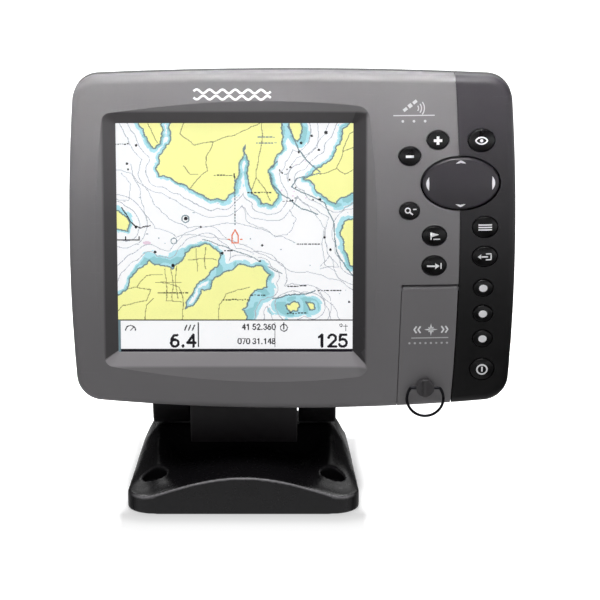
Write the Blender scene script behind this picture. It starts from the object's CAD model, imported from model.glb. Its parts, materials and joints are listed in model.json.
"""A chart plotter: a screen-and-keys head held by a tilting cradle on a mount that stands on the floor.

x runs to the right, z up, and the front faces -y.
"""

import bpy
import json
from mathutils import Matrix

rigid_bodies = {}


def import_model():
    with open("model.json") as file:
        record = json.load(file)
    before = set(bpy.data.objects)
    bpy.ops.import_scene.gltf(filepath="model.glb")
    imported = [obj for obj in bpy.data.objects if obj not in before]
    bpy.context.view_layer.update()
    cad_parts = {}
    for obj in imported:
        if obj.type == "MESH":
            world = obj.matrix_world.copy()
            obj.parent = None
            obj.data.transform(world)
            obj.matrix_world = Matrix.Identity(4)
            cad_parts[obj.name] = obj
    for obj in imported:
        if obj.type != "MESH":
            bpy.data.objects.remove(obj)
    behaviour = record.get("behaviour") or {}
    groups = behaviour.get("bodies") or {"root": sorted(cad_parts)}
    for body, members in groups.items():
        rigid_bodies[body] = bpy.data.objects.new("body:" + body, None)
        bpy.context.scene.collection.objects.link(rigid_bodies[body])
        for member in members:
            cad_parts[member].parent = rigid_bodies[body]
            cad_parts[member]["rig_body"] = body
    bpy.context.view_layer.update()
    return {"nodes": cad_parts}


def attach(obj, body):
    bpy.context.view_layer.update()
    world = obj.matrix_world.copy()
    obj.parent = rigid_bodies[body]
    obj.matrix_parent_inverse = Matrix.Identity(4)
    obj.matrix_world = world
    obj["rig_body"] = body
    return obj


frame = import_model()

import functools
import json
import math
import random

import bmesh
import bpy
import numpy as np
from mathutils import Vector
from mathutils.bvhtree import BVHTree

NODES = frame["nodes"]
MM = 0.001

# The centre of the head's face, from which marks are placed, and the centre of its screen
HEAD_X, HEAD_Z = 19.0, 105.0
SCREEN_X = HEAD_X - 21.9


# ------------------------------------------------------------------ colours and node graphs
def srgb(red, green, blue):
    """Linear colour of an 8-bit sRGB value."""
    levels = (level / 255.0 for level in (red, green, blue))
    return tuple(c / 12.92 if c <= 0.04045 else ((c + 0.055) / 1.055) ** 2.4 for c in levels)


def tone(colour, gain, lift=0.0):
    """A lighter or darker version of a colour."""
    return tuple(min(1, c * gain + lift) for c in colour)


class Graph:
    """The node tree of a material or a world, with short calls for the nodes used here."""

    def __init__(self, owner, output="ShaderNodeOutputMaterial"):
        owner.use_nodes = True
        self.owner = owner
        self.tree = owner.node_tree
        self.tree.nodes.clear()
        self.out = self.add(output)
        self.coords = self.add("ShaderNodeTexCoord")
        self.place = self.coords.outputs["Object"]

    def add(self, kind, **settings):
        node = self.tree.nodes.new(kind)
        for key, value in settings.items():
            setattr(node, key, value)
        return node

    def link(self, source, target):
        self.tree.links.new(source, target)

    def put(self, socket, value):
        """Feeds a socket with another socket, a number or an RGB colour."""
        if isinstance(value, bpy.types.NodeSocket):
            self.link(value, socket)
        elif isinstance(value, (int, float)):
            socket.default_value = value
        else:
            socket.default_value = (*value, 1.0)

    def shader(self, kind, **inputs):
        """The output of a new node; inputs are named with _ for a space."""
        node = self.add(kind)
        for key, value in inputs.items():
            self.put(node.inputs[key.replace("_", " ")], value)
        return node.outputs[0]

    def finish(self, shader):
        self.link(shader, self.out.inputs["Surface"])
        return self.owner

    def surface(self, colour, rough, normal=None, **inputs):
        """Ends the graph in a principled surface and returns its material."""
        if normal is not None:
            inputs["Normal"] = normal
        return self.finish(self.shader("ShaderNodeBsdfPrincipled", Base_Color=colour,
                                       Roughness=rough, **inputs))

    def mix_shader(self, factor, first, second):
        node = self.add("ShaderNodeMixShader")
        for socket, source in zip(node.inputs, (factor, first, second)):
            self.link(source, socket)
        return node.outputs[0]

    def noise(self, size, detail=2.0, stretch=None, rough=0.5):
        """Noise whose features measure about size millimetres."""
        node = self.add("ShaderNodeTexNoise")
        node.inputs["Scale"].default_value = 1000.0 / size
        node.inputs["Detail"].default_value = detail
        node.inputs["Roughness"].default_value = rough
        place = self.place
        if stretch:
            mapping = self.add("ShaderNodeMapping")
            mapping.inputs["Scale"].default_value = stretch
            self.link(place, mapping.inputs["Vector"])
            place = mapping.outputs["Vector"]
        self.link(place, node.inputs["Vector"])
        return node.outputs["Fac"]

    def span(self, value, start, end, low=0, high=1):
        """Maps start..end to low..high, clamped."""
        node = self.add("ShaderNodeMapRange")
        node.inputs["From Min"].default_value = start
        node.inputs["From Max"].default_value = end
        node.inputs["To Min"].default_value = low
        node.inputs["To Max"].default_value = high
        self.link(value, node.inputs["Value"])
        return node.outputs["Result"]

    def drift(self, noise, low=0, high=1):
        """Maps the middle range of a noise to low..high."""
        return self.span(noise, 0.3, 0.7, low, high)

    def mix(self, factor, first, second, mode="MIX"):
        node = self.add("ShaderNodeMix", data_type="RGBA", blend_type=mode)
        self.put(node.inputs["Factor"], factor)
        self.put(node.inputs["A"], first)
        self.put(node.inputs["B"], second)
        return node.outputs["Result"]

    def maths(self, operation, first, second=0.0, *more):
        node = self.add("ShaderNodeMath", operation=operation)
        for socket, value in zip(node.inputs, (first, second, *more)):
            self.put(socket, value)
        return node.outputs[0]

    def product(self, first, second):
        return self.maths("MULTIPLY", first, second)

    def bump(self, height, strength, depth, below=None):
        """Relief depth millimetres high, on top of an earlier normal if one is given."""
        node = self.add("ShaderNodeBump")
        node.inputs["Strength"].default_value = strength
        node.inputs["Distance"].default_value = depth * MM
        self.link(height, node.inputs["Height"])
        if below is not None:
            self.link(below, node.inputs["Normal"])
        return node.outputs["Normal"]

    def axes(self, vector=None):
        """The x, y and z of a vector, by default of the shaded place in metres."""
        node = self.add("ShaderNodeSeparateXYZ")
        self.link(vector or self.place, node.inputs[0])
        return node.outputs

    def ramp(self, value, stops, interpolation="LINEAR"):
        """A colour ramp; stops are (position, RGB colour), the two end stops first."""
        node = self.add("ShaderNodeValToRGB")
        elements = node.color_ramp.elements
        node.color_ramp.interpolation = interpolation
        for k, (position, colour) in enumerate(stops):
            element = elements[k] if k < 2 else elements.new(position)
            element.position = position
            element.color = (*colour, 1)
        self.link(value, node.inputs[0])
        return node.outputs[0]


def new_graph(name):
    return Graph(bpy.data.materials.new(name))


# ------------------------------------------------------------------ materials
def moulded(name, colour, rough, grain, depth, vary, scuff=0.25, spec=None, tint=None):
    """Moulded plastic: fine grain, slow colour drift, uneven gloss and hairline scuffs.

    grain and depth size the texture, vary is the colour drift, scuff the strength of the
    scuffs. spec makes the specular level and tint alters the colour, both given the graph.
    """
    graph = new_graph(name)
    slow = graph.noise(34, detail=3)
    middle = graph.noise(5, detail=4)
    fine = graph.noise(grain, rough=0.6)
    base = graph.mix(graph.drift(slow), tone(colour, 1 - vary), tone(colour, 1 + vary))
    base = graph.mix(graph.span(fine, 0.35, 0.7, high=0.35), base, tone(colour, 1 - 1.8 * vary))
    # hairline scuffs, long in one direction and rare
    scratch = graph.noise(1.6, stretch=(0.16, 1.0, 1.3), rough=0.4)
    scratch = graph.span(scratch, 0.70, 0.76, high=scuff)
    base = graph.mix(scratch, base, tone(colour, 1.35, lift=0.01))
    if tint:
        base = tint(graph, base)
    gloss = graph.drift(middle, rough - 0.05, rough + 0.07)
    gloss = graph.maths("ADD", gloss, graph.product(scratch, 0.25))
    normal = graph.bump(fine, strength=0.6, depth=depth)
    normal = graph.bump(middle, strength=0.25, depth=depth * 1.5, below=normal)
    return graph.surface(base, gloss, normal, Specular_IOR_Level=spec(graph) if spec else 0.5,
                         Coat_Weight=0.0, Coat_Roughness=0.12)


def recess_tint(graph, base):
    """Tints the recess walls round the screen: dark, darkest facing left, light facing up."""
    geometry = graph.add("ShaderNodeNewGeometry")
    x, y, z = graph.axes()
    turn = graph.add("ShaderNodeVectorTransform", vector_type="NORMAL",
                     convert_from="WORLD", convert_to="OBJECT")
    graph.link(geometry.outputs["True Normal"], turn.inputs[0])
    normal_x, normal_y, normal_z = graph.axes(turn.outputs[0])
    off_x = graph.maths("ABSOLUTE", graph.maths("SUBTRACT", x, SCREEN_X * MM))
    off_z = graph.maths("ABSOLUTE", graph.maths("SUBTRACT", z, HEAD_Z * MM))
    # a square about the screen's centre, at every depth
    square = graph.span(graph.maths("MAXIMUM", off_x, off_z), 49.5 * MM, 50.5 * MM, 1, 0)
    inside_square = graph.product(square, graph.span(y, -34.0 * MM, -33.6 * MM, 1, 1))
    wall = graph.span(normal_y, -0.995, -0.97)
    faces_left = graph.span(normal_x, -0.10, -0.02, 1, 0)
    faces_up = graph.span(normal_z, 0.02, 0.12)
    smoke = graph.mix(faces_left, (0.36, 0.35, 0.36), (0.19, 0.18, 0.19))
    dark = graph.mix(1.0, base, smoke, "MULTIPLY")
    light = graph.mix(1.0, base, (1.9, 1.88, 1.9), "MULTIPLY")
    shade = graph.mix(faces_up, dark, light)
    return graph.mix(graph.product(inside_square, wall), base, shade)


def mount_spec(graph):
    """The mount is duller behind its front edge."""
    _, y, _ = graph.axes()
    return graph.span(y, -46.0 * MM, -44.0 * MM, 0.5, 0.05)


def edge_tint(graph, base):
    """Moulded edges rubbed lighter, most along the front rim of the mount."""
    geometry = graph.add("ShaderNodeNewGeometry")
    _, y, z = graph.axes()
    edge = graph.span(geometry.outputs["Pointiness"], 0.508, 0.535)
    front = graph.span(y, -42.0 * MM, -46.0 * MM, 0.10, 1.0)
    front = graph.product(front, graph.span(z, 4.6 * MM, 6.0 * MM))
    return graph.mix(graph.product(edge, front), base, srgb(136, 134, 137))


def panel_tint(graph, base):
    """The dark side panel lightens towards its top."""
    _, _, z = graph.axes()
    up = graph.maths("POWER", graph.span(z, 78 * MM, 162 * MM), 1.3)
    return graph.mix(up, base, graph.mix(1.0, base, (9.6, 9.5, 9.8), "MULTIPLY"))


def glossy_key(name, colour):
    """Hard glossy key cap with faint orange peel and finger marks."""
    graph = new_graph(name)
    peel = graph.noise(1.3)
    smear = graph.noise(4.0, detail=4, stretch=(1, 1, 0.5))
    base = graph.mix(graph.span(smear, 0.35, 0.7), colour, tone(colour, 1.5, lift=0.002))
    gloss = graph.span(smear, 0.35, 0.7, 0.27, 0.42)
    return graph.surface(base, gloss, graph.bump(peel, strength=0.3, depth=0.01),
                         Specular_IOR_Level=0.32, Coat_Weight=0.1, Coat_Roughness=0.1)


def rubber(name, colour):
    """Matt rubber with a pale bloom in patches."""
    graph = new_graph(name)
    fine = graph.noise(0.18, detail=3)
    bloom = graph.span(graph.noise(7, detail=3), 0.45, 0.75, high=0.5)
    base = graph.mix(bloom, colour, tone(colour, 1.7, lift=0.006))
    return graph.surface(base, graph.drift(fine, 0.66, 0.86),
                         graph.bump(fine, strength=0.5, depth=0.02), Specular_IOR_Level=0.3)


def metal(name, colour, rough, brushed):
    """Stained metal; brushed stretches its fine lines along the axis with the small value."""
    graph = new_graph(name)
    lines = graph.noise(0.5, detail=3, stretch=brushed, rough=0.7)
    stain = graph.noise(6, detail=4)
    base = graph.mix(graph.span(stain, 0.35, 0.7, high=0.6), colour, tone(colour, 0.72))
    return graph.surface(base, graph.drift(lines, rough - 0.08, rough + 0.14),
                         graph.bump(lines, strength=0.35, depth=0.01), Metallic=1.0)


def board(name):
    """Solder-masked circuit board with tracks and round pads."""
    graph = new_graph(name)
    tracks = graph.add("ShaderNodeTexBrick")
    for key, value in (("Scale", 160), ("Mortar Size", 0.05), ("Color1", (0, 0, 0)),
                       ("Color2", (0.5, 0.5, 0.5)), ("Mortar", (1, 1, 1))):
        graph.put(tracks.inputs[key], value)
    upright = graph.add("ShaderNodeMapping")
    upright.inputs["Rotation"].default_value = (math.radians(90), 0, 0)
    graph.link(graph.place, upright.inputs["Vector"])
    graph.link(upright.outputs["Vector"], tracks.inputs["Vector"])
    base = graph.mix(tracks.outputs["Color"], srgb(18, 74, 44), srgb(32, 104, 60))
    cells = graph.add("ShaderNodeTexVoronoi", feature="F1")
    cells.inputs["Scale"].default_value = 1000.0 / 2.4
    graph.link(graph.place, cells.inputs["Vector"])
    pads = graph.span(cells.outputs["Distance"], 0.10, 0.16, 1, 0)
    base = graph.mix(pads, base, srgb(196, 188, 160))
    return graph.surface(base, graph.drift(graph.noise(3, detail=3), 0.25, 0.42),
                         graph.bump(tracks.outputs["Fac"], strength=0.4, depth=0.03))


def chip(name):
    """Matt black package of a chip."""
    graph = new_graph(name)
    fine = graph.noise(0.12)
    base = graph.mix(graph.drift(graph.noise(5)), srgb(26, 26, 28), srgb(40, 40, 43))
    return graph.surface(base, graph.drift(fine, 0.5, 0.7),
                         graph.bump(fine, strength=0.5, depth=0.015))


def film(name):
    """Amber flexible circuit with stripes across x."""
    graph = new_graph(name)
    stripe = graph.add("ShaderNodeTexWave", wave_type="BANDS", bands_direction="X")
    stripe.inputs["Scale"].default_value = 320
    graph.link(graph.place, stripe.inputs["Vector"])
    lines = stripe.outputs["Fac"]
    base = graph.mix(graph.span(lines, 0.4, 0.6), srgb(150, 88, 26), srgb(196, 128, 48))
    return graph.surface(base, graph.drift(graph.noise(3), 0.22, 0.36),
                         graph.bump(lines, strength=0.3, depth=0.02))


def nylon(name, colour):
    """Pale, slightly translucent plastic."""
    graph = new_graph(name)
    base = graph.mix(graph.drift(graph.noise(6, detail=3)), colour, tone(colour, 0.88))
    return graph.surface(base, graph.drift(graph.noise(0.6), 0.38, 0.52),
                         graph.bump(graph.noise(0.4), strength=0.25, depth=0.01),
                         Subsurface_Weight=0.05)


def clear_lens(name):
    """Clear window that reflects more as it is seen edge-on."""
    graph = new_graph(name)
    smear = graph.noise(14, detail=4)
    fresnel = graph.shader("ShaderNodeFresnel", IOR=1.45)
    tint = graph.mix(graph.drift(smear), (0.975, 0.98, 0.98), (0.955, 0.965, 0.965))
    clear = graph.shader("ShaderNodeBsdfTransparent", Color=tint)
    shine = graph.shader("ShaderNodeBsdfGlossy", Roughness=graph.drift(smear, 0.06, 0.12))
    return graph.finish(graph.mix_shader(graph.product(fresnel, 0.6), clear, shine))


def lit(name, colour):
    """A colour of the display, lit from behind a little unevenly."""
    graph = new_graph(name)
    even = graph.noise(60, detail=1)
    fine = graph.noise(0.8, detail=1)
    shade = graph.product(graph.drift(even, 0.97, 1.0), graph.drift(fine, 0.97, 1.0))
    return graph.surface(tone(colour, 0.25), 0.5,
                         Emission_Color=graph.mix(shade, (0, 0, 0), colour),
                         Emission_Strength=1.0, Specular_IOR_Level=0.2)


def ink(name, colour):
    """Pad-printed ink: slightly uneven cover."""
    graph = new_graph(name)
    thin = graph.noise(0.35)
    base = graph.mix(graph.span(thin, 0.55, 0.75, high=0.35), colour, tone(colour, 0.72))
    return graph.surface(base, graph.drift(thin, 0.45, 0.6),
                         graph.bump(thin, strength=0.3, depth=0.01))


FINISH = {
    "bezel": moulded("bezel_grey", srgb(118, 116, 118), rough=0.44, grain=0.3, depth=0.018,
                     vary=0.035, scuff=0.12, tint=recess_tint),
    "panel": moulded("panel_black", srgb(13, 12, 13.5), rough=0.40, grain=0.3, depth=0.02,
                     vary=0.06, scuff=0.12, tint=panel_tint),
    "housing": moulded("housing_black", srgb(34, 33, 35), rough=0.5, grain=0.4, depth=0.035,
                       vary=0.08),
    "cradle": moulded("cradle_black", srgb(22, 20, 22), rough=0.42, grain=0.35, depth=0.03,
                      vary=0.08),
    "lever": moulded("lever_black", srgb(36, 33, 36), rough=0.6, grain=0.5, depth=0.06, vary=0.1),
    "mount": moulded("mount_black", srgb(22, 21, 23), rough=0.24, grain=0.6, depth=0.003,
                     vary=0.05, scuff=0.05, spec=mount_spec, tint=edge_tint),
    "key": glossy_key("key_black", srgb(7, 6, 7)),
    "pad": moulded("pad_black", srgb(50, 47, 52), rough=0.38, grain=0.35, depth=0.02,
                   vary=0.06, scuff=0.15),
    "knob": moulded("knob_grey", srgb(70, 68, 70), rough=0.36, grain=0.3, depth=0.02, vary=0.05),
    "rubber": rubber("rubber_black", srgb(20, 20, 21)),
    "steel": metal("steel", srgb(176, 178, 182), rough=0.28, brushed=(0.1, 1, 1)),
    "wire": metal("dark_wire", srgb(52, 52, 56), rough=0.3, brushed=(1, 1, 0.2)),
    "board": board("circuit_board"),
    "chip": chip("chip_black"),
    "nylon": nylon("nylon_white", srgb(216, 214, 206)),
    "guide": nylon("light_guide", srgb(226, 232, 236)),
    "film": film("flex_film"),
    "lens": clear_lens("lens_clear"),
    "glass": chip("screen_glass"),
}

# Which pieces wear each finish; the keys are glossy and every other piece is steel
WORN_BY = {
    "bezel": "front_bezel media_door",
    "knob": "door_knob",
    "panel": "side_panel",
    "housing": "rear_housing connector_holder power_plug accessory_plug head_sockets "
               "rocker_mount cursor_core card_socket",
    "cradle": "tilt_cradle",
    "lever": "release_lever",
    "mount": "mount_base",
    "pad": "cursor_pad",
    "lens": "screen_lens",
    "glass": "lcd_panel",
    "guide": "backlight_unit",
    "wire": "knob_bail",
    "rubber": "blank_plugs lens_gasket housing_seal door_seal keypad_mat socket_seals",
    "board": "main_board keypad_board card_board",
    "chip": "board_chips buzzer",
    "film": "lcd_ribbon keypad_ribbon",
    "nylon": "board_standoffs friction_washers",
}
WEARS = {piece: finish for finish, pieces in WORN_BY.items() for piece in pieces.split()}
for name, node in NODES.items():
    other = "key" if name.startswith("key_") else "steel"
    node.data.materials.clear()
    node.data.materials.append(FINISH[WEARS.get(name, other)])

# A fine even mesh, relaxed a little, rounds every edge as a mould does:
# piece, mesh size, relaxing steps
for name, mesh_size, steps in (("mount_base", 0.5, 13), ("tilt_cradle", 0.45, 3),
                               ("release_lever", 0.35, 3)):
    even_mesh = NODES[name].modifiers.new("even_mesh", "REMESH")
    even_mesh.mode = "VOXEL"
    even_mesh.voxel_size = mesh_size * MM
    even_mesh.use_smooth_shade = True
    rounded = NODES[name].modifiers.new("rounded_edges", "SMOOTH")
    rounded.factor = 0.5
    rounded.iterations = steps


# ------------------------------------------------------------------ flat shapes
# Each shape is a list of small faces in x and z, cut fine enough to follow a curved surface.
def arc_points(cx, cz, rx, rz, start, end, n=14):
    """Points on an ellipse from start to end degrees."""
    angles = [math.radians(start + (end - start) * i / n) for i in range(n + 1)]
    return [(cx + rx * math.cos(a), cz + rz * math.sin(a)) for a in angles]


def grid_rect(cx, cz, w, h, turn=0.0, step=0.45):
    """A rectangle, turned by turn radians, in cells of about step."""
    nx, nz = max(1, round(w / step)), max(1, round(h / step))
    c, s = math.cos(turn), math.sin(turn)

    def at(i, j):
        x, z = -w / 2 + w * i / nx, -h / 2 + h * j / nz
        return (cx + x * c - z * s, cz + x * s + z * c)

    return [[at(i, j), at(i + 1, j), at(i + 1, j + 1), at(i, j + 1)]
            for i in range(nx) for j in range(nz)]


def ribbon(points, width, step=0.4):
    """A stroke along points; width is a number or a function of 0..1 along it."""
    pts = [Vector(p) for p in points]
    length = [0.0]
    for a, b in zip(pts, pts[1:]):
        length.append(length[-1] + (b - a).length)
    count = max(2, round(length[-1] / step))
    fine = []
    for i in range(count + 1):
        reached = length[-1] * i / count
        passed = max(j for j in range(len(length)) if length[j] <= reached + 1e-9)
        k = min(len(pts) - 2, passed)
        t = (reached - length[k]) / max(1e-9, length[k + 1] - length[k])
        fine.append(pts[k].lerp(pts[k + 1], t))
    rows = []
    for i, p in enumerate(fine):
        along = (fine[min(count, i + 1)] - fine[max(0, i - 1)]).normalized()
        across = Vector((-along.y, along.x))
        w = width(i / count) if callable(width) else width
        rows.append([p + across * w / 2, p, p - across * w / 2])
    return [[tuple(a[k]), tuple(a[k + 1]), tuple(b[k + 1]), tuple(b[k])]
            for a, b in zip(rows, rows[1:]) for k in (0, 1)]


def arc(cx, cz, rx, rz, start, end, width, n=24):
    return ribbon(arc_points(cx, cz, rx, rz, start, end, n), width)


def disc(cx, cz, rx, rz=None, rings=4, n=24):
    rz = rz or rx
    faces = []

    def at(k, i):
        angle = 2 * math.pi * i / n
        return (cx + rx * k / rings * math.cos(angle), cz + rz * k / rings * math.sin(angle))

    for i in range(n):
        faces.append([(cx, cz), at(1, i), at(1, i + 1)])
        for k in range(1, rings):
            faces.append([at(k, i), at(k + 1, i), at(k + 1, i + 1), at(k, i + 1)])
    return faces


def wedge(a, b, c, n=4):
    """A filled triangle with n cells along each side."""
    a, b, c = Vector(a), Vector(b), Vector(c)

    def at(i, j):
        return tuple(a + (b - a) * (i / n) + (c - a) * (j / n))

    faces = []
    for i in range(n):
        for j in range(n - i):
            faces.append([at(i, j), at(i + 1, j), at(i, j + 1)])
            if i + j < n - 1:
                faces.append([at(i + 1, j), at(i + 1, j + 1), at(i, j + 1)])
    return faces


def wave(cz, phase=0.0, length=29.0, height=0.72, turns=6, width=0.85):
    n = int(turns * 14)
    return ribbon([(-length / 2 + length * i / n,
                    cz + height * math.sin(2 * math.pi * turns * i / n + phase))
                   for i in range(n + 1)], width)


# ------------------------------------------------------------------ printed marks
PROUD, SINK = 0.03, 0.04    # how far a mark stands out of its surface and reaches into it


@functools.cache
def tree_of(node):
    mesh = NODES[node].data
    return BVHTree.FromPolygons([tuple(v.co) for v in mesh.vertices],
                                [tuple(p.vertices) for p in mesh.polygons])


def front_y(node, x, z):
    """Where the front of a node is at x, z, all in metres; None where it is missed."""
    hit = tree_of(node).ray_cast(Vector((x, -0.3, z)), Vector((0, 1, 0)))[0]
    return None if hit is None else hit.y


def add_object(name, mesh, body):
    obj = bpy.data.objects.new(name, mesh)
    bpy.context.scene.collection.objects.link(obj)
    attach(obj, body)
    return obj


def mark(name, node, faces, material, centre):
    """A thin printed shape on the front of a node; centre is measured from the head's."""
    bm = bmesh.new()
    for face in faces:
        bm.faces.new([bm.verts.new(((HEAD_X + centre[0] + x) * MM, 0,
                                    (HEAD_Z + centre[1] + z) * MM)) for x, z in face])
    bmesh.ops.remove_doubles(bm, verts=bm.verts, dist=2e-6)
    flat = [f for f in bm.faces if f.calc_area() < 1e-13]
    bmesh.ops.delete(bm, geom=flat, context="FACES")
    for v in list(bm.verts):
        y = front_y(node, v.co.x, v.co.z)
        if y is None:
            bm.verts.remove(v)
        else:
            v.co.y = y - PROUD * MM
    for f in bm.faces:
        f.normal_update()
        if f.normal.y > 0:
            f.normal_flip()
    grown = bmesh.ops.extrude_face_region(bm, geom=list(bm.faces), use_keep_orig=True)
    for v in grown["geom"]:
        if isinstance(v, bmesh.types.BMVert):
            v.co.y += (PROUD + SINK) * MM
    bmesh.ops.recalc_face_normals(bm, faces=bm.faces)
    mesh = bpy.data.meshes.new(name)
    bm.to_mesh(mesh)
    bm.free()
    mesh.materials.append(material)
    add_object(name, mesh, NODES[node]["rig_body"])


INK = ink("legend_ink", srgb(238, 238, 240))
INK_GREY = ink("legend_ink_grey", srgb(196, 196, 198))

PRESET_DOT = disc(0, 0, 1.62, 1.42)
# key: centre of its legend from the head's centre, and the legend about that centre
LEGENDS = {
    "plus": ((54.9, 39.4), grid_rect(0, 0, 3.2, 1.05) + grid_rect(0, 1.05, 1.05, 1.05)
             + grid_rect(0, -1.05, 1.05, 1.05)),
    "minus": ((44.3, 33.4), grid_rect(0, 0, 3.0, 0.95)),
    # an eye
    "view": ((71.4, 39.1), arc(0, -1.05, 2.5, 2.35, 25, 155, 0.5)
             + arc(0, 1.05, 2.5, 2.35, 205, 335, 0.5) + disc(0, 0, 0.62, 0.62)),
    # a ring with a tail and a short bar
    "info": ((44.4, 12.3), arc(-0.7, 0.35, 0.95, 0.95, 0, 360, 0.48)
             + ribbon([(0.15, -0.4), (1.25, -1.3)], 0.6) + grid_rect(1.95, 0.75, 1.3, 0.45)),
    # a flag
    "mark": ((53.9, 2.5), ribbon([(-1.3, -1.35), (-1.3, 1.5)], 0.5)
             + wedge((-0.95, 1.45), (1.8, 0.6), (-0.95, -0.25)) + grid_rect(0.9, -1.15, 2.6, 0.42)),
    # an arrow up to a bar
    "goto": ((53.9, -9.2), ribbon([(-2.7, 0), (0.3, 0)], 0.62)
             + wedge((0.4, 1.15), (2.1, 0), (0.4, -1.15))
             + ribbon([(2.65, -1.15), (2.65, 1.15)], 0.5)),
    "menu": ((73.2, 5.6), grid_rect(0, 0.95, 5.2, 0.52) + grid_rect(0, 0, 5.2, 0.52)
             + grid_rect(0, -0.95, 5.2, 0.52)),
    # an arrow to the left out of a bracket
    "exit": ((73.2, -5.9), ribbon([(0.4, 1.15), (2.4, 1.15), (2.4, 1.149), (2.4, -1.15),
                                   (0.4, -1.15)], 0.48)
             + ribbon([(1.2, 0), (-1.3, 0)], 0.55) + wedge((-1.4, 1.0), (-2.7, 0), (-1.4, -1.0))),
    "preset_1": ((72.8, -18.3), PRESET_DOT),
    "preset_2": ((72.8, -28.5), PRESET_DOT),
    "preset_3": ((72.8, -38.5), PRESET_DOT),
    "power": ((72.8, -50.9), arc(0, 0, 1.95, 1.85, 0, 360, 0.62, n=40)
              + grid_rect(0, 0.15, 0.62, 2.0)),
}
for key, (centre, faces) in LEGENDS.items():
    mark("legend_" + key, "key_" + key, faces, INK, centre)


def taper(width):
    """A stroke width that swells from almost nothing to width and back."""
    return lambda t: 0.04 + width * math.sin(math.pi * t)


def pad_marks():
    """The four direction marks round the cursor pad."""
    faces = []
    for side, middle in ((-1, 180), (1, 0)):
        faces += arc(side * 6.6, 0, 5.9, 6.3, middle - 24, middle + 24, taper(1.15))
        faces += ribbon([(-1.9, side * 7.85), (-0.9, side * 8.2), (0, side * 8.55),
                         (0.9, side * 8.2), (1.9, side * 7.85)], taper(0.85))
    return faces


def satellite():
    """A body with a panel at each end, and three signal arcs to its right."""
    tilt = math.radians(38)
    faces = (grid_rect(-1.9, 1.2, 1.5, 1.5, tilt) + grid_rect(-3.7, -0.2, 1.7, 1.15, tilt)
             + grid_rect(-0.1, 2.6, 1.7, 1.15, tilt))
    for radius in (1.6, 2.7, 3.8):
        faces += arc(-0.3, 0.2, radius, radius, -38, 38, 0.42)
    return faces


def compass_rose():
    """Four long and four short points, with two chevrons on each side."""
    faces = []
    for k in range(8):
        angle = math.radians(45 * k)
        long_point = k % 2 == 0
        length, half = (2.5, 0.62) if long_point else (1.5, 0.45)
        tip = (length * math.sin(angle), length * math.cos(angle))
        foot = (half * math.cos(angle), -half * math.sin(angle))
        if long_point:
            faces += wedge((foot[0] * 0.9, foot[1] * 0.9), tip,
                           (-foot[0] * 0.9, -foot[1] * 0.9), n=3)
        else:
            faces += wedge((tip[0] * 0.32 + foot[0], tip[1] * 0.32 + foot[1]), tip,
                           (tip[0] * 0.32 - foot[0], tip[1] * 0.32 - foot[1]), n=2)
    for side in (-1, 1):
        for k in (0, 1):
            x = side * (4.0 + 1.55 * k)
            faces += ribbon([(x, 1.35), (x + side * 0.9, 0), (x, -1.35)], 0.62)
    return faces


mark("legend_pad", "cursor_pad", pad_marks(), INK, (63.7, 22.7))
mark("mark_waves", "front_bezel", wave(1.15) + wave(-1.2, phase=math.pi), INK, (-22.6, 57.0))
mark("mark_satellite", "front_bezel", satellite(), INK_GREY, (46.2, 51.4))
mark("mark_satellite_line", "front_bezel", grid_rect(0, 0, 15.6, 0.4) + disc(-4.2, -2.2, 0.5)
     + disc(0, -2.2, 0.5) + disc(4.2, -2.2, 0.5), INK_GREY, (45.8, 48.9))
mark("mark_compass", "media_door", compass_rose(), INK, (53.0, -34.6))
mark("mark_compass_line", "media_door", grid_rect(0, 0, 14.2, 0.38), INK_GREY, (52.6, -37.9))
mark("mark_compass_dots", "media_door",
     sum((disc(-7.2 + 2.06 * k, 0, 0.42, 0.42, rings=2, n=12) for k in range(8)), []),
     INK_GREY, (52.0, -40.0))

# ------------------------------------------------------------------ the display's picture
# A sheet of square cells, a little larger than the window it is seen through
SHEET_W, SHEET_H = 94.0, 95.6
WINDOW_W, WINDOW_H = 90.0, 89.8
MARGIN_X, MARGIN_Z = (SHEET_W - WINDOW_W) / 2, (SHEET_H - WINDOW_H) / 2
CELL = 0.235
SHEET_Y = -28.53
COLS, ROWS = int(SHEET_W / CELL), int(SHEET_H / CELL)
CELL_X, CELL_Z = np.meshgrid((np.arange(COLS) + 0.5) * CELL - SHEET_W / 2,
                             SHEET_H / 2 - (np.arange(ROWS) + 0.5) * CELL)
# U, V of each cell run 0..1 over the window, from its top left corner
U = (CELL_X + WINDOW_W / 2) / WINDOW_W
V = (WINDOW_H / 2 - CELL_Z) / WINDOW_H
rng = random.Random(20)

(WATER, LAND, SHOAL, TIDAL, SHORE, ROAD, BLACK, VESSEL, DEPTH, PINK) = range(10)
# sRGB colours in that order
COLOURS = [
    (252, 251, 253), (251, 249, 166), (178, 226, 236), (150, 205, 212), (112, 134, 142),
    (146, 142, 98), (28, 26, 32), (226, 110, 66), (176, 178, 186), (232, 206, 222),
]
picture = np.full(U.shape, WATER, np.int8)


def roughen(points, rough, depth, closed=False):
    """A line through points, roughened by depth rounds of midpoint displacement."""
    pts = [Vector(p) for p in points]
    for _ in range(depth):
        ends = pts[1:] + pts[:1] if closed else pts[1:]
        finer = []
        for a, b in zip(pts, ends):
            d = b - a
            finer += [a, (a + b) / 2 + Vector((-d.y, d.x)) * rng.uniform(-rough, rough)]
        pts = finer if closed else finer + [pts[-1]]
    return np.array([tuple(p) for p in pts])


def inside(outline):
    """Which cells lie inside a closed outline in u, v."""
    hit = np.zeros(U.shape, bool)
    x, y = outline[:, 0], outline[:, 1]
    for a, b, c, d in zip(x, y, np.roll(x, -1), np.roll(y, -1)):
        if b == d:
            continue
        crosses = (b > V) != (d > V)
        hit ^= crosses & (U < (c - a) * (V - b) / (d - b) + a)
    return hit


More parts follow.
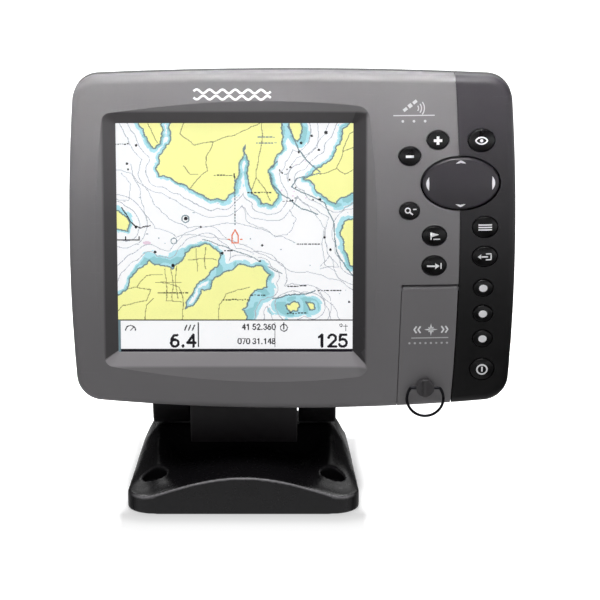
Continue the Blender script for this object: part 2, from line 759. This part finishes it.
def away(line, closed=True, height=WINDOW_W):
    """Distance of each cell from a line, true up to 7.5 mm; V is spread over height."""
    best = np.full(U.shape, 1e9)
    pts = line * WINDOW_W
    ends = np.roll(pts, -1, axis=0) if closed else pts[1:]
    gx, gy = U * WINDOW_W, V * height
    for (a, b), (c, d) in zip(pts, ends):
        dx, dy = c - a, d - b
        square = dx * dx + dy * dy
        if square < 1e-12:
            continue
        reach = math.sqrt(square) / 2 + 7.5
        close = (np.abs(gx - (a + c) / 2) < reach) & (np.abs(gy - (b + d) / 2) < reach)
        t = np.clip(((gx[close] - a) * dx + (gy[close] - b) * dy) / square, 0, 1)
        distance = np.hypot(gx[close] - a - t * dx, gy[close] - b - t * dy)
        best[close] = np.minimum(best[close], distance)
    return best


def smooth_noise(scale, seed):
    """Soft noise over the picture, in features about scale mm across."""
    draws = np.random.RandomState(seed)
    n = int(110 / scale) + 4
    grid = draws.rand(n, n)
    x, y = (U * WINDOW_W + 6) / scale, (V * WINDOW_W + 6) / scale
    xi, yi = np.floor(x).astype(int), np.floor(y).astype(int)
    fx, fy = x - xi, y - yi
    fx, fy = fx * fx * (3 - 2 * fx), fy * fy * (3 - 2 * fy)
    a, b = grid[yi, xi], grid[yi, xi + 1]
    c, d = grid[yi + 1, xi], grid[yi + 1, xi + 1]
    return (a * (1 - fx) + b * fx) * (1 - fy) + (c * (1 - fx) + d * fx) * fy


def stroke(points, width, colour, only, rough):
    """A roughened line, drawn over one colour only unless that is None."""
    chosen = away(roughen(points, rough, depth=3), closed=False) < width / 2
    if only is not None:
        chosen &= picture == only
    picture[chosen] = colour


def radius_from(u, v):
    return np.hypot((U - u) * WINDOW_W, (V - v) * WINDOW_W)


def dot(u, v, radius, colour):
    picture[radius_from(u, v) < radius] = colour


def ring(u, v, outer, inner):
    radius = radius_from(u, v)
    picture[(radius < outer) & (radius > inner)] = SHORE


def dash(u, v, w, h, colour):
    picture[(np.abs(U - u) * WINDOW_W < w / 2) & (np.abs(V - v) * WINDOW_W < h / 2)] = colour


def cell_of(u, v):
    """Row and column of the cell at u, v."""
    return int((v * WINDOW_H + MARGIN_Z) / CELL), int((u * WINDOW_W + MARGIN_X) / CELL)


# Outlines of the lands and of two small islands: u, v
LANDS = [
    [(0.085, -0.04), (0.115, 0.03), (0.135, 0.085), (0.165, 0.115), (0.195, 0.06), (0.2, -0.04)],
    [(0.235, -0.04), (0.225, 0.09), (0.185, 0.14), (0.165, 0.2), (0.18, 0.235), (0.26, 0.265),
     (0.33, 0.3), (0.39, 0.335), (0.455, 0.34), (0.5, 0.3), (0.515, 0.235), (0.53, 0.16),
     (0.545, 0.1), (0.56, 0.17), (0.555, 0.245), (0.57, 0.31), (0.61, 0.355), (0.66, 0.36),
     (0.685, 0.315), (0.655, 0.265), (0.64, 0.215), (0.67, 0.165), (0.705, 0.115), (0.7, 0.05),
     (0.71, -0.04)],
    [(0.725, -0.04), (0.735, 0.03), (0.765, 0.085), (0.785, 0.03), (0.775, -0.04)],
    [(1.04, -0.04), (0.955, 0.03), (0.925, 0.11), (0.895, 0.17), (0.83, 0.215), (0.79, 0.245),
     (0.835, 0.27), (0.87, 0.32), (0.925, 0.355), (0.965, 0.325), (1.04, 0.27)],
    [(1.04, 0.42), (0.965, 0.43), (0.945, 0.49), (0.965, 0.56), (0.985, 0.62), (1.04, 0.64)],
    [(-0.04, 0.385), (0.02, 0.395), (0.055, 0.44), (0.045, 0.475), (-0.04, 0.475)],
    [(-0.04, 0.76), (0.045, 0.715), (0.075, 0.655), (0.135, 0.6), (0.19, 0.625), (0.235, 0.64),
     (0.275, 0.6), (0.315, 0.545), (0.385, 0.53), (0.435, 0.565), (0.43, 0.62), (0.385, 0.67),
     (0.34, 0.705), (0.315, 0.755), (0.285, 0.815), (0.325, 0.795), (0.355, 0.73), (0.395, 0.725),
     (0.4, 0.69), (0.46, 0.65), (0.51, 0.62), (0.565, 0.63), (0.61, 0.625), (0.65, 0.665),
     (0.635, 0.72), (0.585, 0.735), (0.56, 0.775), (0.53, 0.82), (0.55, 0.9), (0.545, 0.96),
     (-0.04, 0.96)],
]
ISLANDS = [
    [(0.715, 0.8), (0.745, 0.785), (0.775, 0.8), (0.765, 0.825), (0.735, 0.83)],
    [(0.8, 0.785), (0.83, 0.79), (0.84, 0.815), (0.815, 0.82)],
]
# Where the shoal is wide: u, v, extent in u, extent in v, added width in mm
BAYS = [
    (0.2, 0.6, 0.11, 0.06, 2.6), (0.45, 0.64, 0.07, 0.05, 1.8), (0.64, 0.8, 0.1, 0.075, 5.0),
    (0.8, 0.8, 0.08, 0.04, 3.0), (0.79, 0.08, 0.035, 0.07, 2.0), (0.97, 0.33, 0.04, 0.06, 2.6),
]
coasts = [roughen(outline, 0.16, depth=4, closed=True) for outline in LANDS]
coasts += [roughen(outline, 0.2, depth=3, closed=True) for outline in ISLANDS]
land = np.zeros(U.shape, bool)
near = np.full(U.shape, 1e9)    # distance from the nearest coast
for outline in coasts:
    land |= inside(outline)
    near = np.minimum(near, away(outline))
wobble = smooth_noise(7, seed=3)
wobble_fine = smooth_noise(3, seed=5)
bays = sum(np.exp(-(((U - u) / size_u) ** 2 + ((V - v) / size_v) ** 2)) * added
           for u, v, size_u, size_v, added in BAYS)
shoal_width = 0.65 + 1.1 * wobble + bays
picture[(near < shoal_width * 1.45) & (smooth_noise(2.2, seed=9) > 0.62)] = SHOAL
picture[near < shoal_width] = SHOAL
picture[(near < shoal_width * 0.72) & (wobble_fine > 0.5)] = TIDAL
for level in (3.6, 6.3):
    contour = near + 1.5 * (wobble - 0.5) + 0.7 * (wobble_fine - 0.5) - level
    picture[(np.abs(contour) < 0.13) & ~land] = DEPTH
picture[land] = LAND
picture[near < 0.26] = SHORE

# Roads on the land: u, v
ROADS = [
    [(0.3, -0.02), (0.27, 0.05), (0.33, 0.1), (0.41, 0.085), (0.49, 0.06), (0.57, 0.02),
     (0.63, -0.01)],
    [(0.41, 0.085), (0.38, 0.15), (0.385, 0.21), (0.34, 0.25), (0.31, 0.29)],
    [(0.61, -0.01), (0.615, 0.09), (0.6, 0.17), (0.59, 0.24), (0.56, 0.31)],
    [(0.59, 0.24), (0.62, 0.28), (0.65, 0.34)],
    [(0.285, 0.19), (0.31, 0.225), (0.345, 0.225)],
    [(0.13, -0.02), (0.155, 0.05), (0.175, 0.09)],
    [(1.02, 0.1), (0.955, 0.13), (0.93, 0.2), (0.86, 0.225)],
    [(1.02, 0.19), (0.965, 0.225), (0.93, 0.2)],
    [(0.955, 0.13), (0.985, 0.05), (1.02, 0.03)],
    [(-0.02, 0.73), (0.08, 0.72), (0.12, 0.67), (0.19, 0.665)],
    [(0.08, 0.72), (0.14, 0.73), (0.12, 0.78), (0.02, 0.8), (-0.02, 0.84)],
    [(0.11, 0.88), (0.12, 0.8), (0.15, 0.77)],
    [(0.27, 0.88), (0.275, 0.76), (0.26, 0.72), (0.19, 0.7)],
    [(0.43, 0.88), (0.43, 0.8), (0.46, 0.75), (0.56, 0.72)],
    [(0.2, 0.64), (0.205, 0.78), (0.27, 0.785)],
    [(0.225, 0.64), (0.23, 0.78)],
    [(0.25, 0.63), (0.255, 0.77)],
    [(0.16, 0.7), (0.27, 0.7)],
    [(0.17, 0.745), (0.27, 0.745)],
    [(0.3, 0.6), (0.42, 0.6)],
    [(0.335, 0.55), (0.34, 0.65)],
    [(0.375, 0.545), (0.375, 0.64)],
]
# Depth lines and channels in the water: u, v
CHANNELS = [
    [(-0.02, 0.2), (0.06, 0.22), (0.12, 0.28), (0.16, 0.36), (0.22, 0.42), (0.3, 0.46),
     (0.38, 0.455), (0.45, 0.44), (0.56, 0.45), (0.66, 0.49), (0.75, 0.52)],
    [(0.06, 0.18), (0.09, 0.27), (0.12, 0.4), (0.16, 0.46), (0.25, 0.5), (0.33, 0.49),
     (0.42, 0.5), (0.52, 0.53), (0.63, 0.58), (0.72, 0.64), (0.84, 0.66), (0.96, 0.7),
     (1.02, 0.74)],
    [(0.53, 0.36), (0.55, 0.43), (0.62, 0.46), (0.67, 0.5), (0.72, 0.49), (0.76, 0.42),
     (0.73, 0.38)],
    [(0.77, 0.33), (0.84, 0.4), (0.88, 0.46), (0.87, 0.54), (0.88, 0.62), (0.93, 0.65)],
    [(-0.02, 0.33), (0.05, 0.34), (0.06, 0.27), (0.02, 0.22)],
    [(0.84, 0.72), (0.88, 0.78), (0.91, 0.88)],
    [(0.86, 0.74), (0.93, 0.82), (0.95, 0.88)],
    [(0.86, 0.63), (0.9, 0.58), (0.94, 0.63), (0.86, 0.64)],
]
# Heavier lines: width, colour, the colour drawn over, roughness, points in u, v
HEAVY_LINES = [
    (0.42, BLACK, None, 0.1, [(0.02, 0.37), (0.055, 0.43), (0.1, 0.46), (0.14, 0.45)]),
    (0.34, SHORE, WATER, 0.06, [(0.36, 0.51), (0.43, 0.535), (0.5, 0.56), (0.58, 0.59),
                                (0.64, 0.63), (0.7, 0.66)]),
    (0.5, SHORE, None, 0.04, [(0.725, 0.02), (0.77, 0.12), (0.83, 0.19), (0.86, 0.215)]),
    (0.42, SHORE, None, 0.05, [(0.86, 0.22), (0.76, 0.245), (0.74, 0.28), (0.82, 0.32),
                               (0.88, 0.35), (0.92, 0.44), (0.93, 0.56), (0.97, 0.63),
                               (1.02, 0.7)]),
    (0.45, SHORE, None, 0.06, [(0.68, 0.17), (0.64, 0.21), (0.655, 0.27), (0.7, 0.315),
                               (0.73, 0.33), (0.78, 0.375), (0.85, 0.4)]),
    (0.5, SHORE, None, 0.1, [(0.66, 0.77), (0.72, 0.755), (0.78, 0.75), (0.84, 0.735)]),
]
for points in ROADS:
    stroke(points, 0.3, ROAD, only=LAND, rough=0.06)
for points in CHANNELS:
    stroke(points, 0.24, DEPTH, only=WATER, rough=0.09)
for width, colour, only, rough, points in HEAVY_LINES:
    stroke(points, width, colour, only, rough)

# Buoys and beacons: u, v, radius
BUOYS = [
    (0.045, 0.18, 0.5), (0.05, 0.205, 0.4), (0.355, 0.455, 0.45), (0.615, 0.535, 0.45),
    (0.88, 0.5, 0.5), (0.905, 0.555, 0.5), (0.985, 0.785, 0.45), (0.085, 0.1, 0.5),
    (0.235, 0.625, 0.7), (0.445, 0.57, 0.6), (0.605, 0.605, 0.45), (0.78, 0.09, 0.55),
    (0.885, 0.045, 0.7), (0.825, 0.06, 0.5), (0.855, 0.12, 0.5), (0.77, 0.13, 0.45),
    (0.16, 0.565, 0.55), (0.735, 0.195, 0.4), (0.7, 0.22, 0.35), (0.86, 0.335, 0.5),
    (0.08, 0.455, 0.6),
]
for u, v, radius in BUOYS:
    dot(u, v, radius, BLACK)
# small dots scattered over the channel at the upper right
for _ in range(26):
    u, v = rng.uniform(0.68, 0.86), rng.uniform(0.16, 0.34)
    if picture[cell_of(u, v)] in (WATER, SHOAL):
        dot(u, v, rng.uniform(0.2, 0.42), BLACK if rng.random() < 0.6 else PINK)
# soundings: short ticks in open water
for _ in range(60):
    u, v = rng.uniform(0.02, 0.98), rng.uniform(0.02, 0.84)
    cell = cell_of(u, v)
    if picture[cell] == WATER and near[cell] > 1.6:
        dash(u, v, rng.uniform(0.5, 0.95), 0.3, DEPTH if rng.random() < 0.7 else SHORE)

# Captions, each a short broken bar: u, v, length
CAPTIONS = [
    (0.01, 0.095, 8.0), (0.63, 0.065, 6.2), (0.63, 0.09, 6.8), (0.45, 0.23, 7.0),
    (0.6, 0.305, 8.6), (0.81, 0.53, 9.0), (0.72, 0.343, 3.2), (0.24, 0.745, 8.2),
    (0.5, 0.775, 9.5), (0.59, 0.755, 5.0), (0.9, 0.735, 8.5), (0.47, 0.56, 3.0),
    (0.76, 0.715, 7.0), (0.76, 0.835, 7.5),
]
for u, v, length in CAPTIONS:
    x = u - length / WINDOW_W / 2
    end = u + length / WINDOW_W / 2
    while x < end:
        piece = rng.uniform(0.5, 1.2)
        dash(x + piece / (2 * WINDOW_W), v + rng.uniform(-0.001, 0.001), piece, 0.42,
             BLACK if v > 0.09 else SHORE)
        x += (piece + rng.uniform(0.22, 0.4)) / WINDOW_W

# two rings, one with a dot in it, and a flat pink spot
ring(0.29, 0.42, outer=1.6, inner=1.15)
dot(0.292, 0.418, 0.75, BLACK)
ring(0.24, 0.517, outer=1.3, inner=0.95)
spot = np.hypot((U - 0.125) * WINDOW_W / 2.3, (V - 0.525) * WINDOW_W) < 0.7
picture[spot & (picture == WATER)] = PINK
# heading line and the vessel
for k in range(16):
    dash(0.5, 0.24 + 0.0135 * k, 0.42, 0.85, SHORE if k % 4 else BLACK)
dash(0.497, 0.23, 0.5, 1.6, BLACK)
HULL = [(0.487, 0.525), (0.487, 0.492), (0.5, 0.468), (0.513, 0.492), (0.513, 0.525)]
picture[away(np.array(HULL)) < 0.24] = VESSEL
for u in (0.474, 0.526):
    dash(u, 0.51, 0.9, 0.35, VESSEL)
# scale bar at the left
dash(0.035, 0.513, 10.5, 0.42, BLACK)
for u in (-0.02, 0.035, 0.092):
    dash(u, 0.505, 0.42, 1.7, BLACK)

# data bar under the chart, with a frame and two dividers
BAR_TOP = 0.866
in_bar = V > BAR_TOP
picture[in_bar] = WATER
picture[(V > BAR_TOP - 0.0035) & (V < BAR_TOP + 0.001)] = BLACK
picture[(V > 0.993)] = BLACK
picture[in_bar & (U < 0.0085)] = SHORE
for u in (0.3405, 0.669):
    picture[(V > BAR_TOP + 0.011) & (V < 0.985) & (np.abs(U - u) < 0.0016)] = BLACK


def pen(points, width):
    """A black stroke; points in mm from the screen's centre, z up."""
    line = np.array([((x + WINDOW_W / 2) / WINDOW_W, (WINDOW_H / 2 - z) / WINDOW_W)
                     for x, z in points])
    picture[away(line, closed=False, height=WINDOW_H) < width / 2] = BLACK


# The strokes of each numeral, on a cell 1 wide and 1.7 tall
NUMERALS = {
    "0": [arc_points(0.5, 1.2, 0.5, 0.5, 0, 180) + arc_points(0.5, 0.5, 0.5, 0.5, 180, 360)
          + [(1.0, 1.2)]],
    "1": [[(0.18, 1.35), (0.58, 1.7), (0.58, 0.0)]],
    "2": [arc_points(0.5, 1.2, 0.48, 0.5, 170, -25) + [(0.02, 0.0), (1.0, 0.0)]],
    "3": [arc_points(0.48, 1.25, 0.44, 0.45, 160, -80),
          arc_points(0.48, 0.44, 0.5, 0.44, 85, -165)],
    "4": [[(0.78, 0.0), (0.78, 1.7), (0.0, 0.55), (1.05, 0.55)]],
    "5": [[(0.92, 1.7), (0.16, 1.7), (0.08, 0.9)]
          + arc_points(0.46, 0.54, 0.52, 0.54, 130, -155)],
    "6": [arc_points(0.5, 0.5, 0.48, 0.5, 0, 360),
          [(0.02, 0.5), (0.1, 1.1), (0.4, 1.6), (0.85, 1.66)]],
    "7": [[(0.0, 1.7), (1.0, 1.7), (0.36, 0.0)]],
    "8": [arc_points(0.5, 1.27, 0.42, 0.43, 0, 360), arc_points(0.5, 0.43, 0.5, 0.43, 0, 360)],
}


def number(text, right, base, height, width, line):
    """A number that ends at right; width is one numeral's and line its stroke's."""
    gap = line * 1.25
    x = right
    for c in reversed(text):
        if c == " ":
            x -= width * 0.7
        elif c == ".":
            pen([(x - line * 0.5, base + line * 0.1), (x - line * 0.5, base + line * 0.3)],
                line * 1.15)
            x -= line + gap
        else:
            for points in NUMERALS[c]:
                pen([(x - width + px * width, base + pz / 1.7 * height) for px, pz in points],
                    line)
            x -= width + gap


LARGE = dict(height=4.7, width=2.9, line=1.0)
SMALL = dict(height=2.1, width=1.1, line=0.42)
number("6.4", -15.6, -43.4, **LARGE)
number("125", 42.8, -43.4, **LARGE)
number("41 52.360", 15.2, -36.6, **SMALL)
number("070 31.148", 15.2, -42.3, **SMALL)
# a half dial and its needle, at the left
pen(arc_points(-40.4, -36.9, 1.9, 1.9, 0, 180), 0.42)
pen([(-40.4, -36.9), (-39.2, -35.7)], 0.42)
# three slanted ticks over the first number
for k in range(3):
    pen([(-19.6 + 1.5 * k, -36.9), (-18.8 + 1.5 * k, -34.9)], 0.5)
# a ring with an upright needle
pen(arc_points(18.6, -35.9, 1.35, 1.35, 0, 360), 0.36)
pen([(18.6, -36.3), (18.6, -34.0)], 0.45)
# a small ring and a cross, at the right
pen(arc_points(40.6, -34.9, 0.5, 0.5, 0, 360), 0.3)
pen([(42.4, -37.0), (42.4, -34.6)], 0.42)
pen([(41.6, -35.3), (43.1, -35.3)], 0.36)


def display_sheet(name):
    """The picture as rows of lit cells: each run of one colour in a row is one face."""
    verts, faces, colours, index = [], [], [], {}

    def vert(i, j):
        if (i, j) not in index:
            index[i, j] = len(verts)
            verts.append(((SCREEN_X - SHEET_W / 2 + j * CELL) * MM, SHEET_Y * MM,
                          (HEAD_Z + SHEET_H / 2 - i * CELL) * MM))
        return index[i, j]

    for i in range(ROWS):
        row = picture[i]
        changes = [int(k) + 1 for k in np.nonzero(row[1:] != row[:-1])[0]]
        edges = [0] + changes + [COLS]
        for a, b in zip(edges, edges[1:]):
            faces.append((vert(i + 1, a), vert(i + 1, b), vert(i, b), vert(i, a)))
            colours.append(int(row[a]))
    mesh = bpy.data.meshes.new(name)
    mesh.from_pydata(verts, [], faces)
    for k, colour in enumerate(COLOURS):
        mesh.materials.append(lit("display_%d" % k, srgb(*colour)))
    mesh.polygons.foreach_set("material_index", colours)
    mesh.update()
    add_object(name, mesh, "head")


display_sheet("display_picture")

# ------------------------------------------------------------------ studio, in metres
scene = bpy.context.scene
scene.view_settings.view_transform = "Standard"
scene.view_settings.look = "None"
scene.view_settings.exposure = 0.0
scene.view_settings.gamma = 1.0


def aim(obj, target):
    obj.rotation_euler = (target - obj.location).to_track_quat("-Z", "Y").to_euler()


CAMERA_TARGET = Vector((21.9, -38.0, 82.7)) * MM
CAMERA_RISE = math.radians(15)
CAMERA_DISTANCE = 1.27
lens = bpy.data.cameras.new("camera")
lens.lens = 200
lens.sensor_width = 36
lens.clip_start = 0.05
lens.clip_end = 60
camera = bpy.data.objects.new("camera", lens)
back = Vector((0, -math.cos(CAMERA_RISE), math.sin(CAMERA_RISE)))
camera.location = CAMERA_TARGET + back * CAMERA_DISTANCE
aim(camera, CAMERA_TARGET)
scene.collection.objects.link(camera)
scene.camera = camera


def studio_world():
    """White to the camera; to the light, a dim room that brightens upwards."""
    world = bpy.data.worlds.new("studio")
    scene.world = world
    graph = Graph(world, "ShaderNodeOutputWorld")
    path = graph.add("ShaderNodeLightPath")
    _, _, z = graph.axes(graph.coords.outputs["Generated"])
    up = graph.maths("MULTIPLY_ADD", z, 0.5, 0.5)
    sky = graph.ramp(up, ((0.42, (0.10, 0.10, 0.10)), (0.95, (0.62, 0.62, 0.63))))
    room = graph.shader("ShaderNodeBackground", Color=sky, Strength=0.35)
    seen = graph.shader("ShaderNodeBackground", Color=(1, 1, 1), Strength=1.0)
    graph.finish(graph.mix_shader(path.outputs["Is Camera Ray"], room, seen))


studio_world()

# Soft boxes: name, place, aimed at, width, height, watts, spread in degrees
SOFTBOXES = [
    ("key_light", (0.0, -0.40, 0.98), (0.02, -0.02, 0.10), 0.7, 0.35, 4.3, 180),
    ("sheet_light", (0.02, -0.36, 0.52), (0.02, -0.038, 0.183), 0.34, 0.05, 0.11, 13),
    ("top_light", (0.02, 0.15, 0.95), (0.02, 0, 0.05), 1.0, 0.7, 4.6, 180),
    ("fill_left", (-1.0, -0.9, 0.16), (0.0, 0, 0.09), 0.5, 0.3, 0.3, 180),
    ("fill_right", (1.0, -0.9, 0.16), (0.04, 0, 0.09), 0.5, 0.3, 0.35, 180),
    ("rim_back", (0.1, 0.95, 0.75), (0.02, 0.05, 0.10), 0.9, 0.5, 4.0, 180),
]
for name, place, target, width, height, power, spread in SOFTBOXES:
    light = bpy.data.lights.new(name, "AREA")
    light.shape = "RECTANGLE"
    light.size = width
    light.size_y = height
    light.energy = power
    light.spread = math.radians(spread)
    lamp = bpy.data.objects.new(name, light)
    lamp.location = place
    lamp.rotation_euler = (Vector(target) - Vector(place)).to_track_quat("-Z", "Y").to_euler()
    scene.collection.objects.link(lamp)
    lamp.visible_camera = False

# ------------------------------------------------------------------ floor, in metres
FLOOR_SIZE, FLOOR_CELLS = 8.0, 24
FLOOR_GLOW = 0.30       # glow of the paper under the mount
CONTACT_GAIN = 1.1      # overall level of the contact shadow
CONTACT_REACH = 0.024   # how far the contact shadow's stops spread from the mount
MIRROR_REACH = 2.0      # how far the mirrored floor's stops spread from the middle
# The mount's footprint: centre of each rounded corner, and the corner radius
CORNER_X, CORNER_Y, CORNER_RADIUS = 0.0344, 0.0370, 0.011
# Stops as (part of the reach, brightness), the two ends first
CONTACT_STOPS = ((0.0, 0.62), (1.0, 1.02), (0.15, 0.71), (0.28, 0.755), (0.40, 0.845),
                 (0.52, 0.925), (0.65, 0.97), (0.80, 1.0))
MIRROR_STOPS = ((0.0, 0.5), (1.0, 2.2), (0.055, 0.45), (0.085, 0.02), (0.16, 0.04),
                (0.27, 0.45), (0.5, 1.9))


def floor_paper():
    """White paper that glows to the camera, with a contact shadow before the mount."""
    graph = new_graph("floor_paper")
    paper = graph.mix(graph.drift(graph.noise(200)), (0.83, 0.83, 0.835), (0.86, 0.86, 0.86))
    plain = graph.shader("ShaderNodeBsdfDiffuse", Color=paper)
    x, y, _ = graph.axes()
    off_x = graph.maths("ABSOLUTE", x)
    off_y = graph.maths("ABSOLUTE", y)
    around = graph.maths("MAXIMUM", graph.span(off_x, 0.0440, 0.0490),
                         graph.span(off_y, 0.0485, 0.0560))
    # distance from the rounded rectangle that the mount stands on
    past_x = graph.maths("MAXIMUM", graph.maths("SUBTRACT", off_x, CORNER_X), 0.0)
    past_y = graph.maths("MAXIMUM", graph.maths("SUBTRACT", off_y, CORNER_Y), 0.0)
    squares = graph.maths("ADD", graph.product(past_x, past_x), graph.product(past_y, past_y))
    gap = graph.maths("SUBTRACT", graph.maths("SQRT", squares), CORNER_RADIUS)
    contact = graph.ramp(graph.maths("DIVIDE", gap, CONTACT_REACH),
                         [(at, (level / CONTACT_GAIN,) * 3) for at, level in CONTACT_STOPS])
    contact = graph.mix(1.0, contact, (CONTACT_GAIN,) * 3, "MULTIPLY")
    # the part in front of the mount where the contact shadow shows
    front = graph.product(graph.span(y, -0.0370, -0.0480), graph.span(gap, 0.020, 0.026, 1, 0))
    front = graph.product(front, graph.span(off_x, 0.0460, 0.0510, 1, 0))
    open_glow = graph.mix(around, (FLOOR_GLOW,) * 3, (1.0, 1.0, 1.0))
    glow = graph.shader("ShaderNodeEmission", Color=graph.mix(front, open_glow, contact))
    seen = graph.shader("ShaderNodeBsdfDiffuse", Color=graph.mix(front, paper, (0.0, 0.0, 0.0)))
    both = graph.add("ShaderNodeAddShader")
    graph.link(seen, both.inputs[0])
    graph.link(glow, both.inputs[1])
    # in reflections the paper close to the object is dim and the room beyond it bright
    far = graph.add("ShaderNodeVectorMath", operation="LENGTH")
    graph.link(graph.place, far.inputs[0])
    mirrored = graph.ramp(graph.maths("DIVIDE", far.outputs["Value"], MIRROR_REACH),
                          [(at, (level, level, level * 1.01)) for at, level in MIRROR_STOPS],
                          interpolation="EASE")
    room = graph.shader("ShaderNodeEmission", Color=mirrored, Strength=1.0)
    path = graph.add("ShaderNodeLightPath")
    direct = graph.mix_shader(path.outputs["Is Camera Ray"], plain, both.outputs[0])
    return graph.finish(graph.mix_shader(path.outputs["Is Glossy Ray"], direct, room))


floor_mesh = bpy.data.meshes.new("floor")
row = FLOOR_CELLS + 1
verts = [((i / FLOOR_CELLS - 0.5) * FLOOR_SIZE, (j / FLOOR_CELLS - 0.5) * FLOOR_SIZE, 0.0)
         for j in range(row) for i in range(row)]
faces = [(j * row + i, j * row + i + 1, (j + 1) * row + i + 1, (j + 1) * row + i)
         for j in range(FLOOR_CELLS) for i in range(FLOOR_CELLS)]
floor_mesh.from_pydata(verts, [], faces)
floor = bpy.data.objects.new("floor", floor_mesh)
scene.collection.objects.link(floor)
floor_mesh.materials.append(floor_paper())
